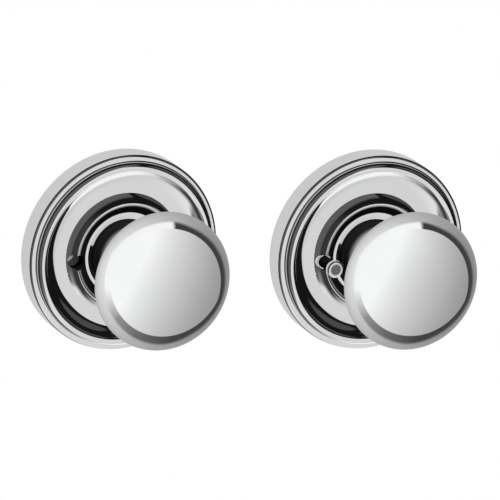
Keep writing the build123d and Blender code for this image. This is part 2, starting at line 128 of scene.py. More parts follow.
def put(tree, socket, value):
    """Links a socket to another socket, or sets its plain value."""
    if isinstance(value, bpy.types.NodeSocket):
        tree.links.new(value, socket)
    else:
        socket.default_value = value


def calculate(tree, operation, first, second=0.0, third=0.0):
    """One step of arithmetic on two or three values."""
    node = add_node(tree, "ShaderNodeMath", operation=operation)
    for socket, value in zip(node.inputs, (first, second, third)):
        put(tree, socket, value)
    return node.outputs[0]


def along(tree, direction, vector):
    """How far a direction points along a fixed vector: their dot product."""
    node = add_node(tree, "ShaderNodeVectorMath", operation="DOT_PRODUCT")
    put(tree, node.inputs[0], direction)
    node.inputs[1].default_value = vector
    return node.outputs["Value"]


def smooth_step(tree, value, low, high, at_low=0.0, at_high=1.0):
    """A smooth change from one level to another while a value goes from low to high."""
    node = add_node(tree, "ShaderNodeMapRange", interpolation_type="SMOOTHSTEP")
    put(tree, node.inputs["Value"], value)
    node.inputs["From Min"].default_value = low
    node.inputs["From Max"].default_value = high
    node.inputs["To Min"].default_value = at_low
    node.inputs["To Max"].default_value = at_high
    return node.outputs["Result"]


def blend_values(tree, share, first, second):
    """The first value where share is 0, the second where it is 1."""
    node = add_node(tree, "ShaderNodeMix", data_type="FLOAT")
    put(tree, node.inputs[0], share)
    put(tree, node.inputs[2], first)
    put(tree, node.inputs[3], second)
    return node.outputs[0]


def blend_colours(tree, share, first, second):
    """The first colour where share is 0, the second where it is 1."""
    node = add_node(tree, "ShaderNodeMix", data_type="RGBA")
    put(tree, node.inputs[0], share)
    put(tree, node.inputs[6], first)
    put(tree, node.inputs[7], second)
    return node.outputs[2]


def clock_vector(degrees):
    """The unit vector at a clock angle in the plane of the door, counted from +X towards +Z."""
    return (math.cos(math.radians(degrees)), 0.0, math.sin(math.radians(degrees)))


def leaning_vector(degrees, lean):
    """The unit vector at a clock angle that leans out of the door's plane towards the front."""
    x, _, z = clock_vector(degrees)
    flat = math.cos(math.radians(lean))
    return (flat * x, -math.sin(math.radians(lean)), flat * z)


def edge_normal(tilt, degrees):
    """The normal of a great circle that leans towards the front by a tilt at one clock angle."""
    x, _, z = clock_vector(degrees)
    lean = math.radians(tilt)
    return (-math.sin(lean) * x, -math.cos(lean), -math.sin(lean) * z)


# %% [markdown]
# Chrome has no look of its own: it shows the room. A product like this is photographed in a light tent of
# cloth and card, so the tent is worth more work than the metal's colour. A tent here is a large ball
# whose cloth glows, and its level at each point depends only on the direction in which the object sees
# that point. A painted panorama would do the same, but zones with named edges can be moved one at a time.

# %% Cloth of a tent
def start_tent(name):
    """An empty tent material, with the direction from the object to each point of the tent."""
    material = bpy.data.materials.new(name)
    material.use_nodes = True
    material.cycles.emission_sampling = "NONE"
    tree = material.node_tree
    tree.nodes.clear()
    direction = add_node(tree, "ShaderNodeVectorMath", operation="NORMALIZE")
    tree.links.new(add_node(tree, "ShaderNodeTexCoord").outputs["Object"], direction.inputs[0])
    return material, tree, direction.outputs["Vector"]


def finish_tent(tree, level, sheer=False):
    """Cloth that glows at a level; sheer cloth also lets the light of a tent outside it through."""
    glow = add_node(tree, "ShaderNodeEmission")
    tree.links.new(level, glow.inputs["Strength"])
    surface = glow.outputs[0]
    if sheer:
        both = add_node(tree, "ShaderNodeAddShader")
        tree.links.new(surface, both.inputs[0])
        tree.links.new(add_node(tree, "ShaderNodeBsdfTransparent").outputs[0], both.inputs[1])
        surface = both.outputs[0]
    tree.links.new(surface, add_node(tree, "ShaderNodeOutputMaterial").inputs["Surface"])


def zone(tree, direction, vector, low, high, at_low=0.0, at_high=1.0):
    """A smooth change of level with how far a direction points along a fixed vector."""
    return smooth_step(tree, along(tree, direction, vector), low, high, at_low, at_high)


# %% [markdown]
# The knobs' tent has one big pale panel in front, a dark strip of card beyond the panel's right and lower
# edge, and grey cloth behind. Two great circles bound the panel. The strip is the zone just outside them,
# narrower on the right, and its shade follows the clock angle round the knob's axis. Panel and cloth get
# darker from left to right, which gives the knob's face its slow change of tone. Hardly any level is over
# one, which is plain light.

# %% Light levels of the knobs' tent
panel_level = 0.84
panel_fall = -0.49
panel_limit = 1.02
panel_falls_to = clock_vector(-18)
panel_lower_edge = edge_normal(23, -110)
panel_upper_edge = edge_normal(21, 65)
panel_softness = 0.012
cloth_level = 0.55
cloth_fall = -0.28
cloth_falls_to = clock_vector(-12)
strip_levels = {-180: 1.0, -160: 1.0, -140: 0.65, -120: 0.3, -95: 0.17, -60: 0.06, 67: 0.05, 71: 1.0}
strip_end = (-0.48, -0.26)
strip_narrowing = 0.11
narrow_from = 0.35
narrow_to = 0.75

knob_cloth, tree, direction = start_tent("knob_tent_cloth")
axes = add_node(tree, "ShaderNodeSeparateXYZ")
tree.links.new(direction, axes.inputs[0])
clock = calculate(tree, "ARCTAN2", axes.outputs["Z"], axes.outputs["X"])
clock = calculate(tree, "MULTIPLY_ADD", clock, 1 / (2 * math.pi), 0.5)
strip = add_node(tree, "ShaderNodeValToRGB")
strip_places = [(angle + 180) / 360 for angle in strip_levels]
for strip_place in strip_places[1:-1]:
    strip.color_ramp.elements.new(strip_place)
for element, strip_place, level in zip(strip.color_ramp.elements, strip_places, strip_levels.values()):
    element.position = strip_place
    element.color = (level, level, level, 1.0)
tree.links.new(clock, strip.inputs["Fac"])
strip_level = add_node(tree, "ShaderNodeRGBToBW")
tree.links.new(strip.outputs["Color"], strip_level.inputs[0])

panel = calculate(tree, "MULTIPLY_ADD", along(tree, direction, panel_falls_to), panel_fall, panel_level)
panel = calculate(tree, "MINIMUM", panel, panel_limit)
cloth = calculate(tree, "MULTIPLY_ADD", along(tree, direction, cloth_falls_to), cloth_fall, cloth_level)
lower_edge = along(tree, direction, panel_lower_edge)
upper_edge = along(tree, direction, panel_upper_edge)
inside_panel = calculate(tree, "MINIMUM", lower_edge, upper_edge)
narrowing = smooth_step(tree, axes.outputs["X"], narrow_from, narrow_to, 0.0, strip_narrowing)
behind = calculate(tree, "SUBTRACT", inside_panel, narrowing)
behind = smooth_step(tree, behind, *strip_end, 1.0, 0.0)
outside_level = blend_values(tree, behind, strip_level.outputs[0], cloth)
in_panel = smooth_step(tree, inside_panel, -panel_softness, panel_softness)
finish_tent(tree, blend_values(tree, in_panel, outside_level, panel))
print(knob_cloth.name, len(tree.nodes), "shader nodes")

# %% [markdown]
# The roses' tent is pale in front, with a brighter spot at the lower right that lights the cove. Dark
# cloth hangs at the left and over the top, beyond what the flat dish mirrors. The ridge shows it as a
# lens shape and the collar as a dark tone. Low down at the left the light fades softly. A black card
# stands at the upper right with a faint sheen in its middle, and the cove shows it as the dark crescent.
# Each zone is laid over the ones before it.

# %% Light levels of the roses' tent
front = (0.0, -1.0, 0.0)
dish_mirrors = (-back[0], back[1], -back[2])
front_level = 0.84
front_fall = -0.24
front_falls_to = clock_vector(-18)
bright_spot = leaning_vector(-42, -15)
bright_spot_level = 0.4
left_side = clock_vector(158)
left_softening = 0.3
top_side = leaning_vector(142, -10)
left_cloth_levels = (0.01, 0.11)
left_foot_side = clock_vector(-105)
left_foot_level = 0.22
lower_left_side = clock_vector(-158)
low_level = 0.04
card_side = clock_vector(-28)
card_over = clock_vector(70)
card_foot_levels = (-0.24, 0.03)
card_softness = 0.012
card_tones = (0.008, 0.07)
card_sheen = leaning_vector(30, 24)
card_sheen_edge = (math.cos(math.radians(24)), math.cos(math.radians(17)))
rear_level = 0.64

rose_cloth, tree, direction = start_tent("rose_tent_cloth")
frontal = along(tree, direction, front)
level = calculate(tree, "MULTIPLY_ADD", along(tree, direction, front_falls_to), front_fall, front_level)
level = calculate(tree, "ADD", level, zone(tree, direction, bright_spot, 0.8, 0.98, 0.0, bright_spot_level))
level = calculate(tree, "MINIMUM", level, 1.0)

left_half = calculate(tree, "MULTIPLY", along(tree, direction, left_side), left_softening)
top_half = along(tree, direction, top_side)
upper_left = smooth_step(tree, calculate(tree, "MAXIMUM", left_half, top_half), -0.02, 0.04)
beyond_dish = zone(tree, direction, dish_mirrors, 0.79, 0.83, 1.0, 0.0)
upper_left = calculate(tree, "MULTIPLY", upper_left, beyond_dish)
left_cloth = smooth_step(tree, frontal, 0.0, 0.35, *left_cloth_levels)
left_foot = zone(tree, direction, left_foot_side, 0.75, 0.95, 0.0, left_foot_level)
level = blend_values(tree, upper_left, level, calculate(tree, "ADD", left_cloth, left_foot))

low_edge = smooth_step(tree, frontal, -0.55, -0.35, 1.0, 0.0)
low_edge = calculate(tree, "MULTIPLY", low_edge, zone(tree, direction, lower_left_side, -0.1, 0.2))
low_shade = smooth_step(tree, frontal, -0.2, 0.4, 1.0, 0.0)
low_shade = calculate(tree, "MULTIPLY", low_shade, zone(tree, direction, lower_left_side, 0.05, 0.55))
level = blend_values(tree, calculate(tree, "MAXIMUM", low_edge, low_shade), level, low_level)

card_foot = smooth_step(tree, frontal, -0.1, 0.6, *card_foot_levels)
over_foot = calculate(tree, "SUBTRACT", along(tree, direction, card_over), card_foot)
card = smooth_step(tree, over_foot, -card_softness, card_softness)
card = calculate(tree, "MULTIPLY", card, zone(tree, direction, card_side, -0.03, 0.03))
card = calculate(tree, "MULTIPLY", card, smooth_step(tree, frontal, 0.82, 0.84, 1.0, 0.0))
card_tone = zone(tree, direction, card_sheen, *card_sheen_edge, *card_tones)
level = blend_values(tree, card, level, card_tone)
level = blend_values(tree, smooth_step(tree, frontal, -0.78, -0.7, 1.0, 0.0), level, rear_level)
finish_tent(tree, level, sheer=True)
print(rose_cloth.name, len(tree.nodes), "shader nodes")


# %% [markdown]
# The two tents stand one inside the other, and light linking gives each its own list of pieces, as if the
# knobs and the roses had been lit by themselves. The inner one is sheer, because the knobs get their
# light through it. The camera sees neither tent, so the ground of the picture is the plain white world.
# The ball is worked out as a grid of rings and columns, and the same grid of cells serves every turned
# piece later on.

# %% Tents and white ground
knob_tent_radius = 12.0
rose_tent_radius = 11.0
tent_rings = 49
tent_columns = 96
merge_distance = 1e-7
sharp_angle = math.radians(32)


def ball(radius, rings, columns):
    """Points of a ball: the ring's angle runs from pole to pole and the column's angle once round."""
    tilt = np.linspace(0, math.pi, rings)[:, None]
    turn = np.linspace(0, 2 * math.pi, columns, endpoint=False)[None, :]
    x = radius * np.sin(tilt) * np.cos(turn)
    y = radius * np.sin(tilt) * np.sin(turn)
    z = radius * np.cos(tilt) + 0 * turn
    return np.stack([x, y, z], axis=-1).reshape(-1, 3)


def grid_quads(rows, columns):
    """Four corners of every cell of a grid that closes on itself across its columns."""
    row = np.arange(rows - 1)[:, None] * columns
    column = np.arange(columns)[None, :]
    following = (column + 1) % columns
    near = [row + column, row + following]
    far = [row + columns + following, row + columns + column]
    return np.stack(near + far, axis=-1).reshape(-1, 4)


def mesh_object(name, points, faces):
    """A closed mesh from arrays: doubles are merged, normals point outwards and sharp corners stay sharp."""
    mesh = bpy.data.meshes.new(name)
    mesh.from_pydata(points.tolist(), [], faces.tolist())
    build = bmesh.new()
    build.from_mesh(mesh)
    bmesh.ops.remove_doubles(build, verts=build.verts, dist=merge_distance)
    bmesh.ops.recalc_face_normals(build, faces=build.faces)
    build.to_mesh(mesh)
    build.free()
    mesh.polygons.foreach_set("use_smooth", np.ones(len(mesh.polygons), dtype=bool))
    mesh.set_sharp_from_angle(angle=sharp_angle)
    made = bpy.data.objects.new(name, mesh)
    scene.collection.objects.link(made)
    return made


def add_tent(name, radius, cloth):
    """A tent that the camera doesn't see, with its own list of the pieces that it lights."""
    tent = mesh_object(name, ball(radius, tent_rings, tent_columns), grid_quads(tent_rings, tent_columns))
    tent.data.materials.append(cloth)
    tent.visible_camera = False
    tent.light_linking.receiver_collection = bpy.data.collections.new(name + "_lights")
    print(name, len(tent.data.polygons), "faces")
    return tent.light_linking.receiver_collection.objects


lit_as_knob = add_tent("knob_tent", knob_tent_radius, knob_cloth)
lit_as_rose = add_tent("rose_tent", rose_tent_radius, rose_cloth)

world = bpy.data.worlds.new("white_ground")
scene.world = world
world.use_nodes = True
world.node_tree.nodes["Background"].inputs["Color"].default_value = (1, 1, 1, 1)
world.node_tree.nodes["Background"].inputs["Strength"].default_value = 1.0

# %% [markdown]
# A lock has no foot, so the floor is a plain pale disc below it. The metal gets nearly all its light from
# the tents; one large soft lamp over the object lights the floor and draws the object's shadow on it.

# %% Floor and lamp
floor_middle = (0.052, -0.02)
floor_level = -0.165
floor_radius = 0.14
floor_corners = 96
floor_tone = (0.88, 0.88, 0.88, 1.0)
speckle_scale = 60.0

floor_turn = np.linspace(0.0, 2.0 * math.pi, floor_corners, endpoint=False)
floor_x = floor_middle[0] + floor_radius * np.cos(floor_turn)
floor_y = floor_middle[1] + floor_radius * np.sin(floor_turn)
floor_rim = np.stack([floor_x, floor_y, 0 * floor_turn + floor_level], axis=-1)
floor = mesh_object("floor", floor_rim, np.arange(floor_corners)[None, :])
floor_paint = bpy.data.materials.new("pale_floor")
floor_paint.use_nodes = True
tree = floor_paint.node_tree
speckle = add_node(tree, "ShaderNodeTexNoise")
speckle.inputs["Scale"].default_value = speckle_scale
tree.links.new(add_node(tree, "ShaderNodeTexCoord").outputs["Object"], speckle.inputs["Vector"])
floor_roughness = smooth_step(tree, speckle.outputs["Fac"], 0.3, 0.7, 0.6, 0.75)
tree.links.new(floor_roughness, tree.nodes["Principled BSDF"].inputs["Roughness"])
tree.nodes["Principled BSDF"].inputs["Base Color"].default_value = floor_tone
floor.data.materials.append(floor_paint)

lamp = bpy.data.objects.new("soft_lamp", bpy.data.lights.new("soft_lamp", "AREA"))
lamp.data.size = 0.6
lamp.data.energy = 14.0
lamp.location = (0.0, -0.5, 0.9)
lamp.rotation_euler = (math.radians(29), 0.0, 0.0)
lamp.visible_glossy = False
scene.collection.objects.link(lamp)
print("floor", len(floor.data.polygons), "face; lamp", lamp.data.energy, "W")

# %% [markdown]
# Now the finishes. Each one is a Principled shader whose colour and roughness come from one shared node
# group, so that no surface is a single flat tone. The group reads Object coordinates: two noises of
# different size are mixed, and their mix blends between two tones and two roughness values. Polished
# plating varies very little, rolled and drawn steel much more, and a stretched mapping turns the same
# noise into streaks.

# %% Shared surface variation
noise_detail = 3.0


def make_variation_group():
    """A node group: broad and fine noise are mixed into a mask, which blends tones and roughness values."""
    group = bpy.data.node_groups.new("surface_variation", "ShaderNodeTree")
    face = group.interface
    face.new_socket("Coordinates", in_out="INPUT", socket_type="NodeSocketVector")
    for label in ("Broad Scale", "Fine Scale", "Fine Share", "Smooth", "Rough"):
        face.new_socket(label, in_out="INPUT", socket_type="NodeSocketFloat")
    for label in ("Dark Tone", "Light Tone"):
        face.new_socket(label, in_out="INPUT", socket_type="NodeSocketColor")
    face.new_socket("Tone", in_out="OUTPUT", socket_type="NodeSocketColor")
    face.new_socket("Roughness", in_out="OUTPUT", socket_type="NodeSocketFloat")
    face.new_socket("Relief", in_out="OUTPUT", socket_type="NodeSocketFloat")
    entry = add_node(group, "NodeGroupInput").outputs
    leave = add_node(group, "NodeGroupOutput").inputs
    masks = []
    for label in ("Broad Scale", "Fine Scale"):
        noise = add_node(group, "ShaderNodeTexNoise")
        noise.inputs["Detail"].default_value = noise_detail
        group.links.new(entry["Coordinates"], noise.inputs["Vector"])
        group.links.new(entry[label], noise.inputs["Scale"])
        masks.append(noise.outputs["Fac"])
    mask = blend_values(group, entry["Fine Share"], masks[0], masks[1])
    spread = smooth_step(group, mask, 0.3, 0.7)
    group.links.new(blend_colours(group, spread, entry["Dark Tone"], entry["Light Tone"]), leave["Tone"])
    group.links.new(blend_values(group, spread, entry["Smooth"], entry["Rough"]), leave["Roughness"])
    group.links.new(mask, leave["Relief"])
    return group


variation = make_variation_group()
print("variation group", len(variation.nodes), "nodes")

# %% [markdown]
# On the real lock the gap between neck and collar, the release hole, the pin's shaft and the insides of
# the roses are dark, because hardly any light gets in. The metal here mirrors the tents and not its
# neighbours, which keeps the mirror images clean, so the shade of these places is painted into the
# colour through masks, and a lighter painted shade lies on the middle of the pin's face. A mask is 1 in
# the open and falls to 0 where the light ends. It is worked out from Object coordinates: the distance
# from an axis, seen straight from the front, and the height over the door's face, where the front lies
# at negative Y.

# %% Masks of the painted shade
# Where the painted shade begins and ends, in metres: round the neck's gap, over the height where the knob's
# head comes before the gap, round the pin hole, on the pin's face, behind its head and in the roses'
# hollows.
gap_rim = (0.0190, 0.0202)
gap_front = (-0.022, -0.014)
hole_rim = (0.00295, 0.00310)
pin_face_rim = (0.0018, 0.0026)
pin_face_painted_lit_share = 0.15
pin_head_back = (-0.0180, -0.0172)
hollow_end = (-0.0020, -0.0008)


def object_axes(tree):
    """The three Object coordinates of a point, as separate values."""
    axes = add_node(tree, "ShaderNodeSeparateXYZ")
    tree.links.new(add_node(tree, "ShaderNodeTexCoord").outputs["Object"], axes.inputs[0])
    return axes.outputs


def frontal_distance(tree, x, z, centre):
    """The distance of a point from a centre in millimetres, both seen straight from the front."""
    flat = add_node(tree, "ShaderNodeCombineXYZ")
    tree.links.new(x, flat.inputs[0])
    tree.links.new(z, flat.inputs[2])
    distance = add_node(tree, "ShaderNodeVectorMath", operation="DISTANCE")
    tree.links.new(flat.outputs[0], distance.inputs[0])
    distance.inputs[1].default_value = (centre[0] * millimetre, 0.0, centre[1] * millimetre)
    return distance.outputs["Value"]


def outside_painted_gap_shade(tree):
    """Painted shade: 0 in the gap round a knob's neck and in the pin's hole, where the tone is painted dark,
    1 outside them: the distances from the nearer trim's axis and from the hole's decide, and so does the
    height, as the knob's head is before the gap."""
    x, y, z = object_axes(tree)
    spacing = (trim_axes["inside"] - trim_axes["outside"]) * millimetre
    side = calculate(tree, "MULTIPLY", calculate(tree, "GREATER_THAN", x, spacing / 2), spacing)
    across = calculate(tree, "SUBTRACT", x, side)
    past_gap = smooth_step(tree, frontal_distance(tree, across, z, (0.0, 0.0)), *gap_rim)
    past_hole = smooth_step(tree, frontal_distance(tree, across, z, pin_place), *hole_rim)
    before_gap = smooth_step(tree, y, *gap_front, 1.0, 0.0)
    return calculate(tree, "MAXIMUM", calculate(tree, "MULTIPLY", past_gap, past_hole), before_gap)


def outside_painted_pin_shade(tree):
    """1 on the rim of the push pin's head, lower on its face, where a lighter shade is painted, and 0 on its
    shaft, where shade is painted as the knob shades it.
    """
    x, y, z = object_axes(tree)
    centre = (trim_axes["inside"] + pin_place[0], pin_place[1])
    rim = smooth_step(tree, frontal_distance(tree, x, z, centre), *pin_face_rim, pin_face_painted_lit_share, 1.0)
    return calculate(tree, "MULTIPLY", rim, smooth_step(tree, y, *pin_head_back, 1.0, 0.0))


def outside_painted_hollow_shade(tree):
    """Painted shade: 0 inside a rose's hollow, in front of the door's face, where the tone is painted dark,
    and 1 at the door's face and behind it.
    """
    return smooth_step(tree, object_axes(tree)[1], *hollow_end)


# %% [markdown]
# A finish puts these together: Object coordinates, stretched where the metal was drawn or rolled, go
# through the shared group into one Principled shader. Where a mask of painted shade is given, the tone is
# painted almost black and the metal loses its mirror where the mask is 0. The relief is only a few
# hundredths of a millimetre deep, as on rolled steel.

# %% How a finish is made
# The colour of the painted shade.
painted_unlit_tone = (0.008, 0.008, 0.008, 1.0)


def make_finish(name, values, metallic, stretch=(1, 1, 1), relief_depth=0.0, lit=None):
    """A finish: values feed the shared group, and lit is a function that adds a mask of painted shade, 1 in
    the lit places and 0 where the tone is painted dark.
    """
    material = bpy.data.materials.new(name)
    material.use_nodes = True
    tree = material.node_tree
    shader = tree.nodes["Principled BSDF"]
    shader.inputs["Metallic"].default_value = metallic
    mapping = add_node(tree, "ShaderNodeMapping")
    mapping.inputs["Scale"].default_value = stretch
    tree.links.new(add_node(tree, "ShaderNodeTexCoord").outputs["Object"], mapping.inputs["Vector"])
    mix = add_node(tree, "ShaderNodeGroup", node_tree=variation)
    tree.links.new(mapping.outputs["Vector"], mix.inputs["Coordinates"])
    for label, value in values.items():
        mix.inputs[label].default_value = value
    tone = mix.outputs["Tone"]
    # Painted shade: where the mask falls to 0 the tone is painted almost black and the mirror goes.
    if lit is not None:
        mask = lit(tree)
        tone = blend_colours(tree, mask, painted_unlit_tone, tone)
        put(tree, shader.inputs["Metallic"], calculate(tree, "MULTIPLY", mask, metallic))
        shader.inputs["Specular IOR Level"].default_value = 0.0
    tree.links.new(tone, shader.inputs["Base Color"])
    tree.links.new(mix.outputs["Roughness"], shader.inputs["Roughness"])
    if relief_depth > 0:
        relief = add_node(tree, "ShaderNodeBump")
        relief.inputs["Strength"].default_value = 1.0
        relief.inputs["Distance"].default_value = relief_depth
        tree.links.new(mix.outputs["Relief"], relief.inputs["Height"])
        tree.links.new(relief.outputs["Normal"], shader.inputs["Normal"])
    return material


def tone_values(broad, fine, share, smooth, rough, dark, light):
    """The inputs of the shared group by name; scales are per metre, tones are three numbers."""
    return {
        "Broad Scale": broad,
        "Fine Scale": fine,
        "Fine Share": share,
        "Smooth": smooth,
        "Rough": rough,
        "Dark Tone": (*dark, 1.0),
        "Light Tone": (*light, 1.0),
    }


# %% [markdown]
# Knobs, roses, bushes, pin and sleeve are plated with chrome over polished brass; its three versions
# differ only in their painted shade: none, the gap round the neck with the pin hole, and the pin's shaft
# and face. Plates, cages, cams, rings, posts and long screws are steel with a dull zinc plating, with shade
# painted on where they lie inside a rose's hollow; the springs are oiled wire, the grub screws are
# blackened, and the thrust washers are nylon. Rough metal varies more than polished metal does, so its
# two tones lie further apart.

# %% The finishes
chrome_values = tone_values(45, 700, 0.25, 0.012, 0.035, (0.885, 0.89, 0.90), (0.915, 0.92, 0.925))
finishes = {
    "polished_chrome": make_finish("polished_chrome", chrome_values, metallic=1.0),
    # Painted shade in the gap round the knobs' necks, in the roses' mouths and in the pin hole.
    "gap_shaded_chrome": make_finish("gap_shaded_chrome", chrome_values, metallic=1.0, lit=outside_painted_gap_shade),
    # Painted shade on the push pin's shaft, and a lighter painted shade on its face.
    "pin_painted_shade_chrome": make_finish("pin_painted_shade_chrome", chrome_values, metallic=1.0, lit=outside_painted_pin_shade),
    # Painted shade on the steel parts that lie inside a rose's hollow.
    "plated_steel": make_finish(
        "plated_steel",
        tone_values(160, 2400, 0.45, 0.26, 0.42, (0.47, 0.48, 0.50), (0.66, 0.67, 0.68)),
        metallic=1.0,
        stretch=(1, 1, 0.25),
        relief_depth=0.00003,
        lit=outside_painted_hollow_shade,
    ),
    "spring_steel": make_finish(
        "spring_steel",
        tone_values(220, 2600, 0.5, 0.28, 0.45, (0.20, 0.205, 0.22), (0.36, 0.365, 0.38)),
        metallic=1.0,
        stretch=(1, 4, 1),
        relief_depth=0.00002,
    ),
    "black_steel": make_finish(
        "black_steel",
        tone_values(180, 2800, 0.5, 0.32, 0.55, (0.012, 0.012, 0.014), (0.05, 0.05, 0.055)),
        metallic=0.6,
        relief_depth=0.00002,
    ),
    "nylon": make_finish(
        "nylon",
        tone_values(140, 1800, 0.4, 0.38, 0.55, (0.70, 0.70, 0.67), (0.84, 0.84, 0.82)),
        metallic=0.0,
        relief_depth=0.00003,
    ),
}
print("finishes", ", ".join(finishes))

# %% [markdown]
# The visible metal is turned, so each piece is a profile carried round its axis. A profile is made of
# straight runs and arcs, in millimetres: radius, then height off the door. A straight run gets one more
# point close to each end, so that the shading bends only at the corner and the mirror finish stays clean.

# %% Profiles and turned surfaces
corner_margin = 0.04
no_flat = 1000.0


def straight(start, end, count):
    """Points of a straight run: evenly spaced, and one more a margin inside each end."""
    start = np.asarray(start, float)
    end = np.asarray(end, float)
    near = corner_margin / max(np.linalg.norm(end - start), 3 * corner_margin)
    share = np.unique(np.concatenate([[0, near, 1 - near, 1], np.linspace(0, 1, count)]))[:, None]
    return start + (end - start) * share


def bow(start, middle, end, count):
    """Points of the circle through three points, evenly spaced by angle from the first to the last."""
    a, b, c = (np.asarray(point, float) for point in (start, middle, end))
    centre = np.linalg.solve(2 * np.array([b - a, c - a]), [b @ b - a @ a, c @ c - a @ a])
    angles = np.unwrap([math.atan2(point[1] - centre[1], point[0] - centre[0]) for point in (a, b, c)])
    turn = np.linspace(angles[0], angles[2], count)[:, None]
    return centre + np.linalg.norm(a - centre) * np.hstack([np.cos(turn), np.sin(turn)])


def swept_arc(centre, radius, from_degrees, to_degrees, count):
    """Points of an arc about a centre between two angles."""
    turn = np.radians(np.linspace(from_degrees, to_degrees, count))[:, None]
    return np.asarray(centre, float) + radius * np.hstack([np.cos(turn), np.sin(turn)])


def chain(*runs):
    """One profile from runs that follow each other; a shared end point is kept once."""
    return np.concatenate([runs[0]] + [run[1:] for run in runs[1:]])


def corners(points, count=2):
    """Straight runs through a list of corner points."""
    return chain(*[straight(a, b, count) for a, b in zip(points[:-1], points[1:])])


def turned(profile, columns, axis, flat=None, square=None):
    """Points of a profile turned round an axis: x = r cos, y = -height, z = r sin. A row with a flat width
    stays between two parallel flats, and a square row runs round a square of half width r."""
    turn = np.linspace(0, 2 * math.pi, columns, endpoint=False)[None, :]
    reach = profile[:, :1] + 0 * turn
    upright = np.maximum(np.abs(np.sin(turn)), 1e-9)
    if flat is not None:
        reach = np.minimum(reach, flat[:, None] / upright)
    if square is not None:
        reach = np.where(square[:, None], reach / np.maximum(np.abs(np.cos(turn)), upright), reach)
    x = axis[0] + reach * np.cos(turn)
    z = axis[1] + reach * np.sin(turn)
    y = 0 * turn - profile[:, 1:]
    return np.stack([x, y, z], axis=-1).reshape(-1, 3)


def add_piece(name, points, faces, body, replaced, finish="polished_chrome"):
    """A finished chrome piece in metres: it rides on a body, has a finish and stands for a CAD node."""
    piece = mesh_object(name, points * millimetre, faces)
    piece.data.materials.append(finishes[finish])
    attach(piece, body)
    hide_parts(replaced)
    print(name, len(piece.data.polygons), "faces")
    return piece


# %% [markdown]
# A round hole in a turned surface would usually be cut with a Boolean, which leaves long thin faces that
# show in a mirror. Here the cells in a window of the grid are left out instead. Rows of points run from
# the window's border to the hole's circle on the same surface, then over a small rounded lip and down the
# hole's wall.

# %% Holes in turned surfaces
hole_lip = 0.12
lip_steps = 4
ring_steps = 8


def window(row_order, first_column, last_column, columns):
    """Grid points round a window: along its first row, down a side, back along its last row and up again."""
    over = np.arange(first_column, last_column)
    side = np.ones(row_order.size - 1, dtype=int)
    one_row = np.ones(over.size, dtype=int)
    row = np.concatenate([row_order[0] * one_row, row_order[:-1], row_order[-1] * one_row, row_order[:0:-1]])
    column = np.concatenate([over, last_column * side, over[::-1] + 1, first_column * side])
    return row * columns + column % columns


def without_windows(quads, columns, *windows):
    """The cells of a grid, less those inside each window, which is given by its rows and end columns."""
    keep = np.ones((len(quads) // columns, columns), dtype=bool)
    for rows, (first_column, last_column) in windows:
        keep[rows.min():rows.max(), first_column:last_column] = False
    return quads[keep.ravel()]


def add_loops(points, first_loop, rows, last_loop=None):
    """Joins rows of new points to one loop of a surface, and to a second loop where a hole goes through."""
    numbers = len(points) + np.arange(rows.shape[0] * first_loop.size).reshape(-1, first_loop.size)
    loops = np.vstack([first_loop, numbers] + ([] if last_loop is None else [last_loop]))
    after = np.roll(loops, -1, axis=1)
    cells = np.stack([loops[:-1], after[:-1], after[1:], loops[1:]], axis=-1).reshape(-1, 4)
    return np.vstack([points, rows.reshape(-1, 3)]), cells


def lip_rows(unit):
    """A quarter round from the surface into a hole: shifts from the outer circle, and each row's depth."""
    angle = np.linspace(0, math.pi / 2, lip_steps + 1)[1:, None, None]
    return unit * (-hole_lip * np.sin(angle)), hole_lip * (1 - np.cos(angle))


def underside_hole(points, border, axis_x, height, radius, surface, depth):
    """A blind hole that goes up into a piece from below. Border points move straight to the circle in the
    plane of sideways and height, and surface gives the piece's radius at a height, so that
    z = -sqrt(radius^2 - sideways^2)."""
    edge = np.stack([points[border, 0] - axis_x, -points[border, 1]], axis=-1)
    middle = np.array([0.0, height])
    unit = (edge - middle) / np.linalg.norm(edge - middle, axis=1, keepdims=True)
    share = np.linspace(0, 1, ring_steps + 1)[1:, None, None]
    ring = edge + (middle + (radius + hole_lip) * unit - edge) * share
    drop = -np.sqrt(surface(ring[..., 1]) ** 2 - ring[..., 0] ** 2)
    ring = np.stack([axis_x + ring[..., 0], -ring[..., 1], drop], axis=-1)
    shift, sunk = lip_rows(unit)
    rounded = ring[-1] + np.concatenate([shift * np.array([1.0, -1.0]), sunk + 0 * shift[..., :1]], axis=-1)
    wall = rounded[-1].copy()
    wall[:, 2] = rounded[-1][:, 2].max() + depth
    bottom = wall.mean(axis=0) + 0 * wall
    return add_loops(points, border, np.concatenate([ring, rounded, wall[None], bottom[None]]))


# %% [markdown]
# The knob's head is an ellipse in section. Its curve never changes suddenly, so it reflects in one smooth
# sweep. A small fillet leads to the waisted neck, which flares to the shank. The fillet is an arc that
# rolls along the ellipse and the neck, so its centre is found where the ellipse, moved out by the
# fillet's radius, comes as far from the axis as the neck does when moved out by the same amount.

# %% Knob profile in front of the rose
knob_radius = 26.9
knob_half_depth = 15.2
knob_middle = 44.3
neck_radius = 11.5
neck_fillet = 5.0
waist_height = 24.0
neck_base = (13.1, 12.2)

tilt = np.radians(np.linspace(-90, 0, 2001))
slant = np.hypot(knob_half_depth * np.cos(tilt), knob_radius * np.sin(tilt))
rolled_radius = knob_radius * np.cos(tilt) + neck_fillet * knob_half_depth * np.cos(tilt) / slant
rolled_height = knob_half_depth * np.sin(tilt) + neck_fillet * knob_radius * np.sin(tilt) / slant
fillet_radius = neck_radius + neck_fillet
touch = np.interp(fillet_radius, rolled_radius, tilt)
fillet_height = knob_middle + np.interp(fillet_radius, rolled_radius, rolled_height)

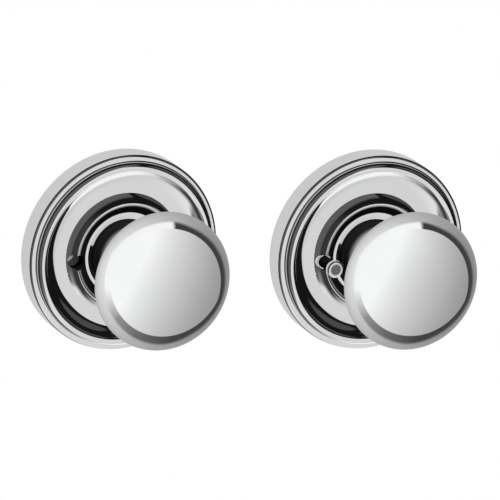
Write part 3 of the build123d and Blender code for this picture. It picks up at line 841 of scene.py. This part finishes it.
sweep = np.linspace(math.pi / 2, touch, 120)[:, None]
head = np.hstack([knob_radius * np.cos(sweep), knob_middle + knob_half_depth * np.sin(sweep)])
touch_degrees = math.degrees(math.atan2(head[-1, 1] - fillet_height, head[-1, 0] - fillet_radius))
throat = swept_arc((fillet_radius, fillet_height), neck_fillet, touch_degrees, 180, 24)
flare_width = neck_base[0] - neck_radius
flare_length = waist_height - neck_base[1]
flare_radius = (flare_width**2 + flare_length**2) / (2 * flare_width)
flare_turn = math.degrees(math.asin(flare_length / flare_radius))
flare = swept_arc((neck_radius + flare_radius, waist_height), flare_radius, 180, 180 + flare_turn, 48)
above_flare = chain(head, throat, straight(throat[-1], (neck_radius, waist_height), 4))
print("knob head and neck", len(above_flare) + len(flare) - 1, "rows")

# %% [markdown]
# Behind the rose come the groove of the retaining ring, the journal with its two flats, and the square
# socket of the spindle. All this is one closed surface, with the grub screw's hole under the neck. The
# screw itself stays a CAD node, so the hole has to be exactly where the CAD has it.

# %% Knobs
shank_radius = 13.6
shank_top = 11.6
ring_groove_radius = 12.45
ring_groove_front = 3.7
ring_groove_back = 2.6
shank_end = 2.0
journal_radius = 8.986
journal_end = -10.5
journal_flat = 7.5
flats_start = -0.9
socket_half = 4.0
socket_top = 26.0
screw_hole = 2.03
knob_screw_height = 18.1
knob_screw_depth = 1.6
knob_screw_reach = 3.3
knob_screw_columns = 15
knob_columns = 320

shank = corners([
    neck_base,
    (shank_radius, shank_top),
    (shank_radius, ring_groove_front),
    (ring_groove_radius, ring_groove_front),
    (ring_groove_radius, ring_groove_back),
    (shank_radius, ring_groove_back),
    (shank_radius, shank_end),
    (journal_radius, shank_end),
    (journal_radius, flats_start),
])
round_part = chain(above_flare, flare, shank)
flat_part = corners([(journal_radius, flats_start), (journal_radius, journal_end)], 6)
square_part = corners([(socket_half, journal_end), (socket_half, socket_top), (0, socket_top)], 3)
knob_profile = np.concatenate([round_part, flat_part, square_part])
part_lengths = [len(round_part), len(flat_part), len(square_part)]
flat_width = np.repeat([no_flat, journal_flat, no_flat], part_lengths)
is_square = np.repeat([False, False, True], part_lengths)

flare_rows = len(above_flare) - 1 + np.arange(len(flare))
screw_rows = flare_rows[np.abs(flare[:, 1] - knob_screw_height) < knob_screw_reach]
knob_bottom = 3 * knob_columns // 4
screw_columns = (knob_bottom - knob_screw_columns, knob_bottom + knob_screw_columns)
screw_border = window(screw_rows, *screw_columns, knob_columns)
knob_quads = grid_quads(len(knob_profile), knob_columns)
knob_quads = without_windows(knob_quads, knob_columns, (screw_rows, screw_columns))


def neck_size(height):
    """The neck's radius at a height, from the flare's points."""
    return np.interp(height, flare[::-1, 1], flare[::-1, 0])


for trim, axis_x in trim_axes.items():
    points = turned(knob_profile, knob_columns, (axis_x, 0.0), flat_width, is_square)
    screw_place = (axis_x, knob_screw_height, screw_hole)
    points, hole_quads = underside_hole(points, screw_border, *screw_place, neck_size, knob_screw_depth)
    faces = np.concatenate([knob_quads, hole_quads])
    body = f"{trim}_knob"
    # The knob's finish paints shade on its neck in the gap before the rose.
    lit_as_knob.link(add_piece(f"{trim}_turned_knob", points, faces, body, body, "gap_shaded_chrome"))

# %% [markdown]
# The rose is a forged and polished shell: a side wall with a rounded edge, a flat band, a round ridge, a
# cove, a flat dish, and a hub collar whose lip rolls into the mouth. The ridge is an arc that goes
# straight over into the cove's arc at one slope, and the cove runs out level into the dish, so the mirror
# images flow without a break. Rim, ridge and cove are what gives the real rose its dark and light rings.

# %% Rose profile
rose_edge = 38.5
wall_height = 7.8
edge_end = (37.6, 8.82)
band_end = (36.62, 8.86)
band_fillet = (36.21, 9.07)
ridge_foot_height = 9.55
ridge_middle = (34.15, 9.75)
ridge_radius = 1.9
ridge_slope = 62.0
dish_height = 7.6
collar_foot = (23.4, 7.6)
collar_top = (20.65, 11.4)
collar_sag = 0.35
rim_top = (20.35, 11.7)
rim_inner = (20.05, 11.55)
mouth = (16.43, 9.8)
mouth_swell = (0.15, 0.3)

wall = straight((rose_edge, 0), (rose_edge, wall_height), 26)
edge_width = rose_edge - edge_end[0]
edge_rise = edge_end[1] - wall_height
edge_radius = (edge_width**2 + edge_rise**2) / (2 * edge_width)
edge_turn = math.degrees(math.asin(edge_rise / edge_radius))
edge = swept_arc((rose_edge - edge_radius, wall_height), edge_radius, 0, edge_turn, 10)
ridge_start = math.degrees(math.asin((ridge_foot_height - ridge_middle[1]) / ridge_radius))
ridge = swept_arc(ridge_middle, ridge_radius, ridge_start, 90 + ridge_slope, 72)
cove_radius = (ridge[-1, 1] - dish_height) / (1 - math.cos(math.radians(ridge_slope)))
dish_edge = (ridge[-1, 0] - cove_radius * math.sin(math.radians(ridge_slope)), dish_height)
cove = swept_arc((dish_edge[0], dish_height + cove_radius), cove_radius, ridge_slope - 90, -90, 40)
collar_middle = (np.array(collar_foot) + collar_top) / 2 - collar_sag
lip_middle = (np.array(rim_inner) + mouth) / 2 + mouth_swell
collar_curve = chain(
    bow(collar_foot, collar_middle, collar_top, 300),
    bow(collar_top, rim_top, rim_inner, 60),
    bow(rim_inner, lip_middle, mouth, 300),
)[::-1]
print("ridge", len(ridge), "rows; cove", len(cove), "rows, radius", round(cove_radius, 2))

# %% [markdown]
# The rose's back is hollow, and front and back are one profile that closes on itself. The pin hole goes
# through the collar. Its window starts at the collar's foot, just outside the hole, and ends on the
# mouth's lip just inside it. Rows between these two reach the circle at their own radius, so the collar's
# sharp rim stays crisp right up to the hole; the first and the last row close round its ends.

# %% Rows of the rose
window_outer = collar_foot[0]
window_inner = 16.7
side_outer = 22.75
side_inner = 17.35
ceiling = 5.4
flange_seat = 8.8
hub_bore = 15.0
hub_back = 5.0
hub_step = 16.3
ridge_hollow_inner = (33.35, 8.2)
ridge_hollow_outer = (34.15, 8.2)
hollow_radius = 36.2
hollow_shoulder = 5.6


def collar_run(outer, inner, count):
    """Points of the collar and its mouth, evenly spaced by radius."""
    radius = np.linspace(outer, inner, count)
    return np.stack([radius, np.interp(radius, collar_curve[:, 0], collar_curve[:, 1])], axis=-1)


outer_part = chain(
    wall,
    edge,
    straight(edge[-1], band_end, 5),
    bow(band_end, band_fillet, ridge[0], 8),
    ridge,
    cove,
    straight(dish_edge, collar_foot, 6),
)
pierced = np.concatenate([
    [collar_foot],
    chain(
        collar_run(side_outer, collar_top[0], 22),
        bow(collar_top, rim_top, rim_inner, 14),
        collar_run(rim_inner[0], side_inner, 18),
    ),
    collar_run(window_inner, window_inner, 1),
])
hub = corners([
    mouth,
    (mouth[0], flange_seat),
    (hub_bore, flange_seat),
    (hub_bore, hub_back),
    (hub_step, hub_back),
    (hub_step, ceiling),
])
front_part = chain(outer_part, pierced, collar_run(window_inner, mouth[0], 6), hub)
under_window = np.stack([pierced[::-1, 0], np.full(len(pierced), ceiling)], axis=-1)
hollow = corners([
    (window_outer, ceiling),
    (dish_edge[0], ceiling),
    ridge_hollow_inner,
    ridge_hollow_outer,
    (hollow_radius, hollow_shoulder),
    (hollow_radius, 0.0),
    (rose_edge, 0.0),
], 4)
rose_profile = np.concatenate([front_part, chain(under_window, hollow)])
print("rose profile", len(rose_profile), "rows, of which", len(pierced), "meet the pin hole")

# %% [markdown]
# The pin hole's rows are worked out round the rose's own axis, as a radius and a turn, because the collar
# is turned about it: moving a point along a circle round that axis keeps it on the collar. Then the rows
# go over the lip, down the wall and outwards again on the ceiling of the hollow, to the window that was
# left out there.

# %% Rows of the pin hole
pin_hole = 2.9
end_gather = 0.26
end_margin = 0.1
wall_steps = 3
ceiling_steps = 5


def pin_hole_rows(axis_x, radius, turn):
    """Rows of the pin hole from the front window's border to the ceiling's. A side row goes along its own
    radius until it meets the circle: cos turn = (radius^2 + offset^2 - mouth^2) / (2 radius offset). The end
    rows are drawn together onto the circle's ends. Radius and turn are counted about the rose's axis."""
    mouth_radius = pin_hole + hole_lip
    turn = turn - pin_turn
    on_side = (radius < window_outer - end_margin) & (radius > window_inner + end_margin)
    meets = (radius**2 + pin_offset**2 - mouth_radius**2) / (2 * radius * pin_offset)
    side_turn = np.sign(turn) * np.arccos(np.clip(meets, -1, 1))
    end_turn = turn * end_gather
    reach = np.sqrt(mouth_radius**2 - (pin_offset * np.sin(end_turn)) ** 2)
    end_radius = pin_offset * np.cos(end_turn) + np.where(radius > pin_offset, reach, -reach)
    goal_turn = np.where(on_side, side_turn, end_turn)
    goal_radius = np.where(on_side, radius, end_radius)
    share = np.linspace(0, 1, ring_steps + 1)[1:, None]
    ring_radius = radius + (goal_radius - radius) * share
    ring_turn = pin_turn + turn + (goal_turn - turn) * share
    height = np.interp(ring_radius, collar_curve[:, 0], collar_curve[:, 1])
    ring = np.stack([ring_radius * np.cos(ring_turn), ring_radius * np.sin(ring_turn)], axis=-1)
    shift, sunk = lip_rows((ring[-1] - pin_place) / mouth_radius)
    rounded = np.concatenate([ring[-1] + shift, height[-1][:, None] - sunk], axis=-1)
    front = np.concatenate([np.concatenate([ring, height[..., None]], axis=-1), rounded])
    inner = rounded[-1, :, :2]
    down = np.linspace(0, 1, wall_steps + 1)[1:, None]
    wall_heights = rounded[-1, :, 2] + (ceiling - rounded[-1, :, 2]) * down
    inner_rows = np.broadcast_to(inner, (wall_steps, *inner.shape))
    hole_wall = np.concatenate([inner_rows, wall_heights[..., None]], axis=-1)
    outwards = ring[0] + (inner - ring[0]) * np.linspace(1, 0, ceiling_steps + 1)[1:-1, None, None]
    on_ceiling = np.concatenate([outwards, np.full((*outwards.shape[:2], 1), ceiling)], axis=-1)
    rows = np.concatenate([front, hole_wall, on_ceiling])
    return np.stack([axis_x + rows[..., 0], -rows[..., 2], rows[..., 1]], axis=-1)


# %% [markdown]
# Each rose is the turned profile with three windows: one in front and one behind for the pin hole, and
# one in the side wall's underside for the grub screw that holds the rose on its mounting plate.

# %% Roses
rose_columns = 300
pin_window_columns = 10
wall_window_columns = 4
rose_screw_height = 3.1
rose_screw_depth = 0.9
rose_screw_reach = 2.75

front_rows = len(outer_part) - 1 + np.arange(len(pierced))
back_rows = len(front_part) + np.arange(len(pierced))[::-1]
wall_rows = np.flatnonzero(np.abs(wall[:, 1] - rose_screw_height) < rose_screw_reach)
pin_column = round(pin_turn / (2 * math.pi) * rose_columns)
hole_columns = (pin_column - pin_window_columns, pin_column + pin_window_columns)
rose_bottom = 3 * rose_columns // 4
wall_columns = (rose_bottom - wall_window_columns, rose_bottom + wall_window_columns)
front_border = window(front_rows, *hole_columns, rose_columns)
back_border = window(back_rows, *hole_columns, rose_columns)
wall_border = window(wall_rows, *wall_columns, rose_columns)
pin_windows = ((front_rows, hole_columns), (back_rows, hole_columns))
rose_quads = grid_quads(len(rose_profile), rose_columns)
rose_quads = without_windows(rose_quads, rose_columns, *pin_windows, (wall_rows, wall_columns))


def wall_size(height):
    """The side wall's radius, the same at every height."""
    return np.full(np.shape(height), rose_edge)


for trim, axis_x in trim_axes.items():
    points = turned(rose_profile, rose_columns, (axis_x, 0.0))
    border_x = points[front_border, 0] - axis_x
    border_z = points[front_border, 2]
    border_turn = np.arctan2(border_z, border_x) % (2 * math.pi)
    rows = pin_hole_rows(axis_x, np.hypot(border_x, border_z), border_turn)
    points, hole_quads = add_loops(points, front_border, rows, back_border)
    screw_place = (axis_x, rose_screw_height, screw_hole)
    points, screw_quads = underside_hole(points, wall_border, *screw_place, wall_size, rose_screw_depth)
    faces = np.concatenate([rose_quads, hole_quads, screw_quads])
    # The rose's finish paints shade into its mouth and into the pin hole.
    add_piece(f"{trim}_turned_rose", points, faces, "trims", f"{trim}_rose", "gap_shaded_chrome")

# %% [markdown]
# The bush is a flanged ring in the rose's hub, with a shallow dish towards the shank, which turns in it.
# It is a small turned part, so the same profile method makes it, and its profile ends where it began.

# %% Bushes
bush_bore = 13.65
bush_radius = 14.97
bush_back = 4.3
flange_radius = 16.4
flange_front = 9.8
flange_chamfer = 0.1
bush_dish_rim = 15.25
bush_dish_foot = (13.75, 9.24)
bush_bore_front = 9.1
bush_columns = 256

bush_profile = corners([
    (bush_bore, bush_back),
    (bush_radius, bush_back),
    (bush_radius, flange_seat),
    (flange_radius, flange_seat),
    (flange_radius, flange_front - flange_chamfer),
    (flange_radius - flange_chamfer, flange_front),
    (bush_dish_rim, flange_front),
    bush_dish_foot,
    (bush_bore, bush_bore_front),
    (bush_bore, bush_back),
], 3)
bush_quads = grid_quads(len(bush_profile), bush_columns)
for trim, axis_x in trim_axes.items():
    points = turned(bush_profile, bush_columns, (axis_x, 0.0))
    add_piece(f"{trim}_flanged_bush", points, bush_quads, "trims", f"{trim}_rose_bush")

# %% [markdown]
# The push pin has a flat head with a rounded edge, a clip groove and a tail with two flats. It runs from
# the axis at its tail to the axis at its head, so it is closed. Its sleeve sits in the hole of the inside
# rose, with a shoulder behind the rose's ceiling.

# %% Push pin and its sleeve
pin_radius = 2.3
pin_tail_end = -18.0
pin_tail_top = -9.0
pin_tail_flat = 1.2
pin_tail_chamfer = 0.2
clip_groove = 1.7
clip_back = 3.25
clip_front = 4.25
head_radius = 3.3
head_back = 18.0
head_back_round = 0.4
head_front = 20.2
head_front_round = 0.7
sleeve_bore = 2.35
sleeve_radius = 2.85
sleeve_shoulder = 3.55
sleeve_back = 4.4
sleeve_front = 9.6
sleeve_outer_chamfer = 0.15
sleeve_inner_chamfer = 0.1
pin_columns = 96

pin_axis = (trim_axes["inside"] + pin_place[0], pin_place[1])
head_back_arc = (head_radius - head_back_round, head_back + head_back_round)
head_front_arc = (head_radius - head_front_round, head_front - head_front_round)
pin_tail = corners([
    (0, pin_tail_end),
    (pin_radius - pin_tail_chamfer, pin_tail_end),
    (pin_radius, pin_tail_end + pin_tail_chamfer),
    (pin_radius, pin_tail_top),
], 3)
pin_shaft = corners([
    (pin_radius, pin_tail_top),
    (pin_radius, clip_back),
    (clip_groove, clip_back),
    (clip_groove, clip_front),
    (pin_radius, clip_front),
    (pin_radius, head_back),
    (head_back_arc[0], head_back),
], 3)
pin_front = chain(
    pin_shaft,
    swept_arc(head_back_arc, head_back_round, -90, 0, 6),
    straight((head_radius, head_back_arc[1]), (head_radius, head_front_arc[1]), 3),
    swept_arc(head_front_arc, head_front_round, 0, 90, 12),
    straight((head_front_arc[0], head_front), (0, head_front), 5),
)
pin_profile = np.concatenate([pin_tail, pin_front])
tail_flat = np.repeat([pin_tail_flat, no_flat], [len(pin_tail), len(pin_front)])
pin_points = turned(pin_profile, pin_columns, pin_axis, tail_flat)
pin_quads = grid_quads(len(pin_profile), pin_columns)
# The pin's finish paints shade on its shaft and a lighter shade on its face.
add_piece("push_pin", pin_points, pin_quads, "privacy_pin", "privacy_pin", "pin_painted_shade_chrome")

sleeve_profile = corners([
    (sleeve_bore, sleeve_back),
    (sleeve_shoulder, sleeve_back),
    (sleeve_shoulder, ceiling),
    (sleeve_radius, ceiling),
    (sleeve_radius, sleeve_front - sleeve_outer_chamfer),
    (sleeve_radius - sleeve_outer_chamfer, sleeve_front),
    (sleeve_bore + sleeve_inner_chamfer, sleeve_front),
    (sleeve_bore, sleeve_front - sleeve_inner_chamfer),
    (sleeve_bore, sleeve_back),
], 3)
sleeve_points = turned(sleeve_profile, pin_columns, pin_axis)
add_piece("pin_sleeve", sleeve_points, grid_quads(len(sleeve_profile), pin_columns), "trims", "pin_guide")

# %% [markdown]
# The screws, plates, springs, cams and cages are right as the CAD has them, so they stay and only take
# their finish from the slot that the record gives each one.

# %% Finishes of the remaining CAD nodes
for row in frame["record"]["subparts"]:
    node = nodes[row["node"]]
    node.data.materials.clear()
    node.data.materials.append(finishes[row["material_slot"]])
print("finished", len(nodes), "CAD nodes")

# %% [markdown]
# Last, every piece but the knobs goes on the list of the roses' tent. No piece shows in the mirror images
# of another, because each was lit as if by itself; only the tents do.

# %% Which tent lights which piece
for piece in scene.objects:
    if piece.type == "MESH" and not piece.name.endswith("tent"):
        piece.visible_glossy = False
        if piece.name not in lit_as_knob:
            lit_as_rose.link(piece)
print(len(lit_as_knob), "pieces in the knobs' tent,", len(lit_as_rose), "in the roses' tent")
